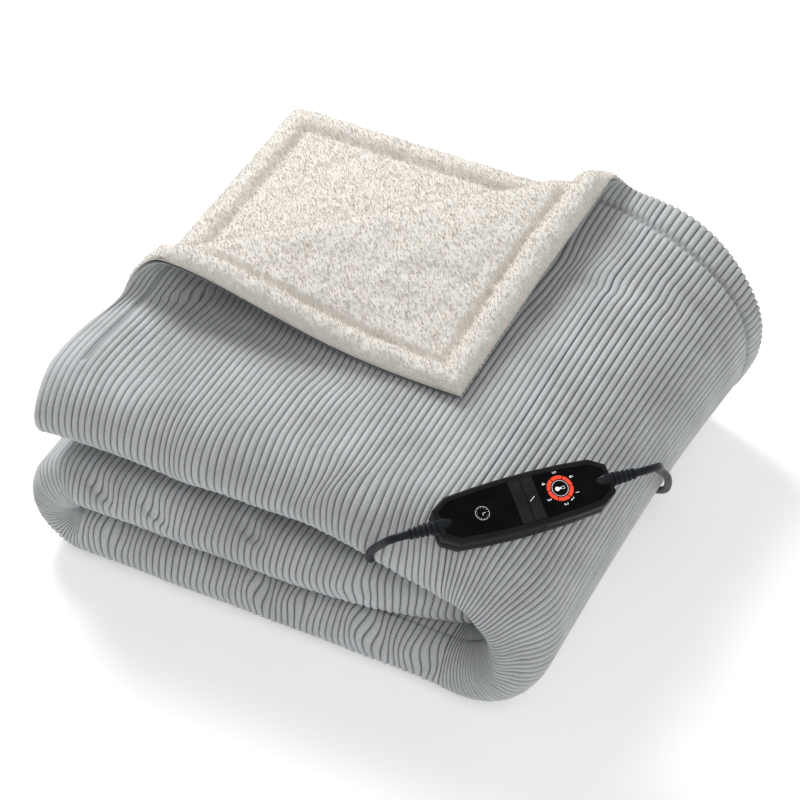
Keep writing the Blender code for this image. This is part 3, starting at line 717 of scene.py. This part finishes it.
class BLANKET_OT_cover(bpy.types.Operator):
    """Build the ribbed cover"""

    bl_idname = "blanket.cover"
    bl_label = "Corduroy cover"

    def execute(self, context):
        material = corduroy_finish()
        rows = stops(0.0, (0.05, 4), (0.085, 14), (1.0, 66), (2.0, 28))
        pieces = [
            cover_piece("cover_top", stops(0.0, (1.0, COLUMNS[0])), rows,
                        material),
            cover_piece("cover_wrap", stops(1.0, (2.0, COLUMNS[1])), rows,
                        material),
            cover_piece(
                "cover_low",
                stops(2.0, (3.0, COLUMNS[2]), (4.0, COLUMNS[3]), (5.0, COLUMNS[4])),
                stops(0.0, (0.8, 10), (1.0, 8), (2.0, 26)), material,
            ),
            cover_piece(
                "cover_inner",
                stops(0.0, *((index + 1, ribs * INNER_COLUMNS) for index, ribs in enumerate(RIBS))),
                stops(2.0, (3.0, 6), (4.0, 10), (5.0, 6), (6.0, 8), (7.0, 8)),
                material,
            ),
        ]
        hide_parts("corduroy_cover")
        return {"FINISHED"}


def clumps(place, size):
    """Height of the pile's clumps at each place, from 0 in a hollow to 1 on a tip."""
    noise.seed_set(CLUMP_SEED)      # without it the clock would choose the clumps
    found = np.empty(len(place))
    for index, co in enumerate(place):
        spot = Vector(co) / size
        spot += 0.35 * noise.noise_vector(spot * 0.7)
        near = noise.voronoi(spot)[0]
        found[index] = min(1.0, (near[1] - near[0]) * 1.5) * 0.7 + 0.3 * (1 - near[0])
    return np.clip(found, 0.0, 1.0)


def lining_heights(u, v, place):
    """Height of the pile over the seam surface, and the painted shade of each place: darker in the
    hollows between clumps and in the sewn channels.
    """
    cloth = bpy.context.scene.blanket_cloth
    back, left = edge_distances(u, v)
    edge = np.minimum(back, left)
    round_off = 1 - np.clip(1 - edge / 0.009, 0.0, 1.0) ** 2.2
    border = 0.0035 * hill(edge - 0.013, 0.010)
    line = hill(np.maximum(edge, 0) - HEM, 0.0042)
    tips = clumps(place, CLUMP_SIZE)
    slow = np.array([noise.noise(Vector(co) * 55.0) for co in place])
    height = (LINING * 0.95 + border - 0.0048 * line) * (0.3 + 0.7 * round_off)
    height += cloth.pile_depth * (tips - 0.6) + 0.0018 * slow
    # painted shade: darker in the hollows between clumps and along the sewn channels
    painted_hollow_shade = 0.2 * np.clip(0.7 - tips, 0.0, 1.0) + 0.30 * line
    return height, painted_hollow_shade


def lining_piece(name, u_values, v_values, material, keep=None):
    """Part of the lining with its pile as clumps, rounded edges and sewn channels."""
    mesh = sheet_mesh(name, u_values, v_values, keep)
    u, v = fold_coordinates(mesh)
    point, normal = surface(u, v)
    height, painted_hollow_shade = lining_heights(u, v, point)
    write_places(mesh, point - normal * (SEAM_GAP / 2 + height)[:, None])
    # the painted shade, for the lining's finish to read
    write_attribute(mesh, "painted_hollow_shade", painted_hollow_shade)
    mesh.flip_normals()
    mesh.shade_smooth()
    tufts = add_tufts(name + "_tufts", mesh.copy(), material)
    thing = add_piece(name, mesh, material)
    thicken(thing, PILE_WALL)
    apply_modifiers(thing)
    return thing


def tuft_nodes():
    """A node group that stands short leaning tufts on a surface."""
    tree = bpy.data.node_groups.new("tufts", "GeometryNodeTree")
    for side in ("INPUT", "OUTPUT"):
        tree.interface.new_socket("Geometry", in_out=side, socket_type="NodeSocketGeometry")
    add, link = tree.nodes.new, tree.links.new
    source, result = add("NodeGroupInput"), add("NodeGroupOutput")
    spread = add("GeometryNodeDistributePointsOnFaces")
    spread.inputs["Density"].default_value = TUFTS_PER_AREA
    spread.inputs["Seed"].default_value = TUFT_SEED
    cone = add("GeometryNodeMeshCone")
    cone.inputs["Vertices"].default_value = 3
    cone.inputs["Radius Bottom"].default_value = TUFT_RADIUS
    cone.inputs["Depth"].default_value = TUFT_LENGTH
    lean = add("FunctionNodeRandomValue")
    lean.data_type = "FLOAT_VECTOR"
    lean.inputs["Min"].default_value = (-0.5, -0.5, -3.1)
    lean.inputs["Max"].default_value = (0.5, 0.5, 3.1)
    turn = add("FunctionNodeRotateRotation")
    turn.rotation_space = "LOCAL"
    grow = add("FunctionNodeRandomValue")
    grow.data_type = "FLOAT"
    grow.inputs[2].default_value = 0.5
    grow.inputs[3].default_value = 1.15
    stand = add("GeometryNodeInstanceOnPoints")
    real = add("GeometryNodeRealizeInstances")
    link(source.outputs[0], spread.inputs["Mesh"])
    link(spread.outputs["Points"], stand.inputs["Points"])
    link(cone.outputs["Mesh"], stand.inputs["Instance"])
    link(spread.outputs["Rotation"], turn.inputs["Rotation"])
    link(lean.outputs[0], turn.inputs["Rotate By"])
    link(turn.outputs[0], stand.inputs["Rotation"])
    link(grow.outputs[1], stand.inputs["Scale"])
    link(stand.outputs[0], real.inputs[0])
    link(real.outputs[0], result.inputs[0])
    return tree


def add_tufts(name, mesh, material):
    """Short tufts all over a mesh, as one piece."""
    tufts = add_piece(name, mesh, None)
    modifier = tufts.modifiers.new("tufts", "NODES")
    modifier.node_group = tuft_nodes()
    apply_modifiers(tufts)
    tufts.data.materials.clear()
    tufts.data.materials.append(material)
    return tufts


class BLANKET_OT_lining(bpy.types.Operator):
    """Build the sherpa lining and its visible pile"""

    bl_idname = "blanket.lining"
    bl_label = "Sherpa lining"

    def execute(self, context):
        material = sherpa_finish()
        mesh = sheet_mesh(
            "sherpa_base",
            stops(0.0, (1.0, 84), (2.0, 40), (3.0, 40), (4.0, 20), (5.0, 50)),
            stops(0.0, (1.0, 80), (2.0, 24), (3.0, 20), (4.0, 8), (5.0, 20), (6.0, 8), (7.0, 40)),
        )
        u, v = fold_coordinates(mesh)
        point, normal = surface(u, v)
        write_places(mesh, point - normal * (SEAM_GAP / 2 + BASE_DROP))
        # the base lining gets no painted shade
        mesh.attributes.new("painted_hollow_shade", "FLOAT", "POINT")
        mesh.shade_smooth()
        base = add_piece("sherpa_base", mesh, material)
        thick = base.vertex_groups.new(name="thick")
        hidden = np.flatnonzero((v > 1.02) & (v < 5.98) | (u > 1.02))
        thick.add(hidden.tolist(), 1.0, "REPLACE")
        solidify = thicken(base, BASE_WALL)
        solidify.vertex_group = "thick"
        solidify.thickness_vertex_group = 0.14  # share of the wall left under the pile
        apply_modifiers(base)
        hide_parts("sherpa_lining")

        # the turn line in fold coordinates: behind it the lining shows
        down = TOP_LENGTH / FIRST_DEPTH
        first_start = (0.0, (PACK_DEPTH - TURN_START[1] + 0.012) / FIRST_DEPTH)
        lining_piece(
            "sherpa_turned_corner", stops(0.0, (1.0, 235)), stops(0.0, (0.92, 240)),
            material, (first_start, (-down, -1.0)),
        )
        second = PACK_DEPTH - HEM_STEP - FRONT
        second_start = (0.0, 6 + (TURN_START[1] - 0.035 - FRONT) / second)
        lining_piece(
            "sherpa_under_corner", stops(0.0, (1.0, 225)), stops(6.0, (7.0, 240)),
            material, (second_start, (-TOP_LENGTH / second, 1.0)),
        )
        return {"FINISHED"}


# ---- the leads ----
def smooth_route(points, per_span):
    """Points of a smooth curve through the route's own points, with no overshoot on short spans."""
    steps = [end - start for start, end in zip(points, points[1:])]
    headings = [steps[0].normalized()]
    for before, after in zip(steps, steps[1:]):
        heading = before * after.length / before.length + after * before.length / after.length
        headings.append(heading.normalized())
    headings.append(steps[-1].normalized())
    route = []
    for index, step in enumerate(steps):
        leave, arrive = (heading * step.length for heading in headings[index : index + 2])
        for count in range(per_span):
            t = count / per_span
            route.append(
                points[index]
                + step * (3 * t**2 - 2 * t**3)
                + leave * (t - 2 * t**2 + t**3)
                + arrive * (t**3 - t**2)
            )
    route.append(points[-1])
    return route


def handset_matrix():
    return Matrix.Translation(HANDSET_AT - ORIGIN) @ HANDSET_TURN.to_matrix().to_4x4()


def boot_end(side, beyond):
    """A point on a boot's axis, past the end of its tail, before ORIGIN is taken off."""
    reach = side * (BODY_HALF_LENGTH + 0.5 * MM + BOOT_TAIL + beyond)
    return handset_matrix() @ Vector((reach, 0, -BOOT_DEPTH)) + ORIGIN


def wrap_point(degrees, y, off=CORD_RADIUS + 1.5 * MM):
    """The middle of a cord on the outside of the wrap, so many degrees around from its top."""
    share = degrees / 180
    normal = (math.sin(math.pi * share), math.cos(math.pi * share))
    half = mix(HALF_TOP, HALF_LOW, float(smooth_step(share)))
    radius = WRAP_RADIUS + half + off
    spread = WRAP_SPREAD * max(0.0, normal[0]) * max(0.0, y / PACK_DEPTH) ** 3
    return Vector((TOP_LENGTH + radius * normal[0] + spread, y, WRAP_Z + radius * normal[1]))


def blanket_lead_points():
    """From the left boot over the front of the top stretch, and in between the stretches."""
    return [
        boot_end(-1, PART_GAP),
        boot_end(-1, 9 * MM),
        Vector((0.325, -0.0215, 0.171)),
        Vector((0.309, -0.0085, 0.142)),
        Vector((0.3035, 0.004, 0.121)),
        Vector((0.300, 0.018, 0.1125)),
        *(Vector((x, y, GAP_Z)) for x, y in (
            (0.296, 0.036), (0.290, 0.060), (0.278, 0.100),
            (0.240, 0.150), (0.170, 0.175), (0.110, 0.150),
        )),
    ]


def mains_lead_points():
    """From the right boot down the outside of the wrap, then along the floor to the coil."""
    floor = CORD_RADIUS + FLOOR_GAP
    front = COIL_AT.y - COIL_RADIUS
    coil_z = COIL_BASE + CORD_RADIUS
    return [
        boot_end(1, PART_GAP),
        boot_end(1, 8 * MM),
        wrap_point(64, 0.180, 22 * MM),
        wrap_point(79, 0.205, 12 * MM),
        wrap_point(93, 0.222, 6.5 * MM),
        wrap_point(115, 0.246),
        wrap_point(138, 0.272),
        wrap_point(150, 0.292, CORD_RADIUS + 2.5 * MM),
        Vector((0.418, 0.322, floor + 0.8 * MM)),
        Vector((0.418, 0.360, floor)),
        Vector((0.419, 0.416, floor)),
        Vector((0.398, 0.467, floor)),
        Vector((0.350, front + 1 * MM, floor + 1 * MM)),
        Vector((COIL_AT.x, front, coil_z)),
    ]


def coil_points():
    """The turns of the coil, each a cord's thickness above the last."""
    per_turn = 28
    points = []
    for step in range(1, COIL_TURNS * per_turn):
        turn = 2 * math.pi * step / per_turn
        rise = 2 * CORD_RADIUS * step / per_turn
        side = Vector((-math.sin(turn), -math.cos(turn), 0)) * COIL_RADIUS
        points.append(COIL_AT + side + Vector((0, 0, COIL_BASE + CORD_RADIUS + rise)))
    return points


def mains_tail_points():
    """From the top of the coil down to the plug."""
    top = COIL_BASE + (2 * COIL_TURNS + 1) * CORD_RADIUS
    front = COIL_AT.y - COIL_RADIUS
    return [
        Vector((COIL_AT.x, front, top)),
        Vector((0.240, front + 1 * MM, 0.034)),
        Vector((0.205, PLUG_AT.y - 2 * MM, 0.015)),
        Vector((0.180, PLUG_AT.y, PLUG_AT.z)),
        PLUG_AT + Vector((PLUG_BOOT + 2 * PART_GAP, 0, 0)),
    ]


def cord_piece(name, points, material):
    curve = bpy.data.curves.new(name, "CURVE")
    curve.dimensions = "3D"
    curve.bevel_depth = CORD_RADIUS
    curve.bevel_resolution = 4
    curve.use_fill_caps = True
    spline = curve.splines.new("POLY")
    spline.points.add(len(points) - 1)
    for point, place in zip(spline.points, points):
        point.co = (*(place - ORIGIN), 1.0)
    spline.use_smooth = True
    return add_piece(name, curve, material)


class BLANKET_OT_leads(bpy.types.Operator):
    """Build both leads, with the mains lead's coil, and finish the tie and plug"""

    bl_idname = "blanket.leads"
    bl_label = "Leads"

    def execute(self, context):
        colour = context.scene.blanket_handset.cord_colour
        rubber = moulded_finish("cord rubber", colour, 0.42)
        finish_nodes(rubber, "boot_left", "boot_right", "coil_tie")
        finish_nodes(moulded_finish("plug rubber", colour, 0.5, 1800.0, 0.2), "plug_boot", "plug_body")
        finish_nodes(metal_finish(), "plug_pin_left", "plug_pin_right")

        points = smooth_route(blanket_lead_points(), 4)
        lead = cord_piece("blanket_cord", points, rubber)
        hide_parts("blanket_lead")
        points = smooth_route(mains_lead_points(), 4) + coil_points()
        points += smooth_route(mains_tail_points(), 4)
        mains = cord_piece("mains_cord", points, rubber)
        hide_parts("mains_lead", "mains_coil", "mains_tail")
        return {"FINISHED"}


# ---- the handset's marks ----
DIAL = Vector((30.6, 2.6, 0.0)) * MM
TIMER = Vector((-35.5, -0.5, 0.0)) * MM
FACE_Z = -0.6 * MM              # the windows' surface under the rim
KEY_Z = 0.3 * MM                # the keys' surface over it
INK = 0.05 * MM                 # thickness of a printed mark
RING_SIZES = (7.6 * MM, 10.6 * MM)
RING_GAP = 4.0                  # degrees between the ring's segments
NUMERAL_RING = 13.6 * MM
NUMERAL_SIZE = 4.5 * MM
HELD_UP = -math.pi / 2          # the print reads with the handset's right end held up


def spot(x, y=0.0):
    """A place on the handset's face, given in millimetres."""
    return Vector((x * MM, y * MM, 0))


def add_arc(bm, centre, inner, outer, start, sweep, steps):
    """A flat arc of a ring, in degrees from the local X axis."""
    first = Matrix.Rotation(math.radians(start), 3, "Z")
    verts = [bm.verts.new(centre + first @ Vector((reach, 0, 0))) for reach in (inner, outer)]
    edge = bm.edges.new(verts)
    bmesh.ops.spin(
        bm, geom=[*verts, edge], axis=(0, 0, 1), cent=centre, angle=math.radians(sweep),
        steps=steps, use_merge=sweep >= 360,
    )


def add_bar(bm, start, end, width):
    """A flat bar between two points."""
    along = end - start
    place = Matrix.Translation((start + end) / 2)
    place @= Matrix.Rotation(math.atan2(along.y, along.x), 4, "Z")
    place @= Matrix.Diagonal((along.length, width, 1, 1))
    bmesh.ops.create_grid(bm, x_segments=1, y_segments=1, size=0.5, matrix=place)


def add_disc(bm, centre, radius, segments=16):
    bmesh.ops.create_circle(
        bm, cap_ends=True, segments=segments, radius=radius, matrix=Matrix.Translation(centre)
    )


def add_letters(bm, text, centre, size):
    """Letters centred on a point, read with the handset's right end held up."""
    curve = bpy.data.curves.new("letters", "FONT")
    curve.body = text
    curve.size = size
    curve.align_x, curve.align_y = "CENTER", "CENTER"
    curve.resolution_u = 3
    holder = bpy.data.objects.new("letters", curve)
    mesh = bpy.data.meshes.new_from_object(holder)
    mesh.transform(Matrix.Translation(centre) @ Matrix.Rotation(HELD_UP, 4, "Z"))
    bm.from_mesh(mesh)
    bpy.data.objects.remove(holder)
    bpy.data.curves.remove(curve)
    bpy.data.meshes.remove(mesh)


def add_marks(name, bm, height, material, body="root"):
    """The flat shapes of a bmesh, given their thickness and put on the handset's face."""
    bmesh.ops.remove_doubles(bm, verts=bm.verts[:], dist=1e-6)
    loose = [edge for edge in bm.edges if not edge.link_faces]
    bmesh.ops.delete(bm, geom=loose, context="EDGES")
    for face in bm.faces:
        face.normal_update()
        if face.normal.z > 0:
            face.normal_flip()
    lifted = bmesh.ops.extrude_face_region(bm, geom=bm.faces[:])["geom"]
    lifted = [item for item in lifted if isinstance(item, bmesh.types.BMVert)]
    bmesh.ops.translate(bm, verts=lifted, vec=(0, 0, INK))
    bmesh.ops.recalc_face_normals(bm, faces=bm.faces[:])
    bmesh.ops.transform(
        bm, matrix=handset_matrix() @ Matrix.Translation((0, 0, height)), verts=bm.verts[:]
    )
    mesh = bpy.data.meshes.new(name)
    bm.to_mesh(mesh)
    bm.free()
    return add_piece(name, mesh, material, body)


class BLANKET_OT_handset(bpy.types.Operator):
    """Finish the handset's shells, windows and keys"""

    bl_idname = "blanket.handset"
    bl_label = "Handset"

    def execute(self, context):
        settings = context.scene.blanket_handset
        housing = moulded_finish("handset housing", settings.housing_colour, 0.42)
        window = moulded_finish("window", (0.0015, 0.0015, 0.002), 0.10, 300.0, 0.01)
        window.node_tree.nodes["Principled BSDF"].inputs["Specular IOR Level"].default_value = 0.1
        keys = moulded_finish("push keys", (0.013, 0.014, 0.016), 0.42)
        finish_nodes(housing, "handset_lower_shell", "handset_upper_shell")
        finish_nodes(window, "face_plate_left", "face_plate_right")
        finish_nodes(keys, "key_left", "key_right", "handset_side_nub")
        return {"FINISHED"}


class BLANKET_OT_dial(bpy.types.Operator):
    """Build the lit ring and the printed marks"""

    bl_idname = "blanket.dial"
    bl_label = "Dial and marks"

    def execute(self, context):
        ring = bmesh.new()
        for segment in range(6):
            add_arc(ring, DIAL, *RING_SIZES, 60 * segment + RING_GAP / 2, 60 - RING_GAP, 10)
        add_marks("dial_ring", ring, FACE_Z + INK, glow_finish())

        # the print's finish carries a painted glow
        glowing_ink = glowing_print_finish()
        marks = bmesh.new()
        add_arc(marks, DIAL, 6.3 * MM, 6.6 * MM, 0, 360, 48)
        for numeral in range(6):
            angle = math.radians(-30 - 60 * numeral)
            place = DIAL + NUMERAL_RING * Vector((math.cos(angle), math.sin(angle), 0))
            add_letters(marks, str(numeral + 1), place, NUMERAL_SIZE)
        for number in range(3):
            angle = math.radians(-54 - 6 * number)
            place = DIAL + 12.6 * MM * Vector((math.cos(angle), math.sin(angle), 0))
            add_disc(marks, place, 0.5 * MM, 8)
        # a thermometer: its bulb and tube
        add_disc(marks, DIAL - spot(2.3), 1.8 * MM)
        add_bar(marks, DIAL - spot(0.55), DIAL + spot(1.2), 1.5 * MM)
        for side in (-0.95, 0.95):
            add_bar(marks, DIAL + spot(1.5, side), DIAL + spot(3.6, side), 0.3 * MM)
        add_bar(marks, DIAL + spot(3.75, -1.1), DIAL + spot(3.75, 1.1), 0.3 * MM)
        # a clock: its rim, hour marks and hands
        add_arc(marks, TIMER, 5.4 * MM, 5.6 * MM, 0, 360, 40)
        for hour in range(12):
            turn = Matrix.Rotation(math.radians(30 * hour), 3, "Z")
            add_bar(marks, TIMER + turn @ spot(4.3), TIMER + turn @ spot(4.9), 0.22 * MM)
        add_bar(marks, TIMER + spot(0.3), TIMER + spot(2.6), 0.35 * MM)
        add_bar(marks, TIMER + spot(0, -0.3), TIMER + spot(0, -2.0), 0.35 * MM)
        add_marks("face_print", marks, FACE_Z + INK, glowing_ink)

        tick = bmesh.new()
        add_bar(tick, spot(3.6, -1.7), spot(8.4, 1.5), 0.4 * MM)
        add_marks("key_tick", tick, KEY_Z, glowing_ink, "key_right")
        dots = bmesh.new()
        for column in range(2):
            for row in range(5):
                add_disc(dots, spot(-4.6 + 2.2 * column, 2.2 * (row - 2)), 0.35 * MM, 8)
        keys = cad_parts["key_left"].material_slots[0].material
        add_marks("key_dots", dots, KEY_Z, keys, "key_left")
        return {"FINISHED"}


class BLANKET_OT_stage(bpy.types.Operator):
    """Build the floor, the lights and the camera"""

    bl_idname = "blanket.stage"
    bl_label = "Stage"

    def execute(self, context):
        stage = context.scene.blanket_stage
        bm = bmesh.new()
        bmesh.ops.create_grid(
            bm, x_segments=1, y_segments=1, size=30.0, matrix=Matrix.Translation((0, 0, -0.0004))
        )
        mesh = bpy.data.meshes.new("floor")
        bm.to_mesh(mesh)
        bm.free()
        floor = bpy.data.objects.new("floor", mesh)
        context.scene.collection.objects.link(floor)
        finish = Finish(
            "floor", Base_Color=stage.floor_colour, Roughness=0.9,
            Emission_Color=stage.floor_colour, Emission_Strength=0.35,
        )
        mesh.materials.append(finish.material)

        world = bpy.data.worlds.new("studio")
        world.use_nodes = True
        world.node_tree.nodes["Background"].inputs["Color"].default_value = (1, 1, 1, 1)
        world.node_tree.nodes["Background"].inputs["Strength"].default_value = 0.41
        context.scene.world = world
        for name, place, size, power in (
            ("key light", (-1.25, 1.10, 1.65), 1.0, stage.key_power),
            ("fill light", (1.5, -1.3, 2.1), 1.8, stage.key_power * 0.40),
        ):
            light = bpy.data.lights.new(name, "AREA")
            light.size = size
            light.energy = power
            lamp = bpy.data.objects.new(name, light)
            lamp.location = place
            lamp.rotation_euler = (-Vector(place)).to_track_quat("-Z", "Y").to_euler()
            context.scene.collection.objects.link(lamp)

        azimuth, elevation = CAMERA_AZIMUTH, CAMERA_ELEVATION
        back = Vector((
            math.sin(azimuth) * math.cos(elevation),
            -math.cos(azimuth) * math.cos(elevation),
            math.sin(elevation),
        ))
        right = Vector((math.cos(azimuth), math.sin(azimuth), 0))
        camera = bpy.data.cameras.new("camera")
        camera.sensor_width = 36.0
        camera.lens = stage.lens
        camera.clip_start = 0.01
        view = bpy.data.objects.new("camera", camera)
        turn = Matrix((right, right.cross(-back), back)).transposed()
        view.matrix_world = Matrix.Translation(
            CAMERA_TARGET + back * stage.camera_distance
        ) @ turn.to_4x4()
        context.scene.collection.objects.link(view)
        context.scene.camera = view
        context.scene.view_settings.view_transform = "Standard"
        return {"FINISHED"}


class BLANKET_PT_panel(bpy.types.Panel):
    """The steps in order"""

    bl_idname = "BLANKET_PT_panel"
    bl_label = "Heated blanket"
    bl_space_type = "VIEW_3D"
    bl_region_type = "UI"
    bl_category = "Blanket"

    def draw(self, context):
        for step in STEPS:
            self.layout.operator(step.bl_idname)


GROUPS = {
    "blanket_cloth": BlanketCloth, "blanket_handset": BlanketHandset, "blanket_stage": BlanketStage,
}
STEPS = (
    BLANKET_OT_stage,
    BLANKET_OT_leads,
    BLANKET_OT_cover,
    BLANKET_OT_lining,
    BLANKET_OT_handset,
    BLANKET_OT_dial,
)


def register():
    for part in (*GROUPS.values(), *STEPS, BLANKET_PT_panel):
        bpy.utils.register_class(part)
    for name, group in GROUPS.items():
        setattr(bpy.types.Scene, name, PointerProperty(type=group))


def unregister():
    for name in GROUPS:
        delattr(bpy.types.Scene, name)
    for part in reversed((*GROUPS.values(), *STEPS, BLANKET_PT_panel)):
        bpy.utils.unregister_class(part)


def main():
    register()
    bpy.ops.blanket.stage()
    bpy.ops.blanket.leads()
    bpy.ops.blanket.cover()
    bpy.ops.blanket.lining()
    bpy.ops.blanket.handset()
    bpy.ops.blanket.dial()


if __name__ == "__main__":
    main()
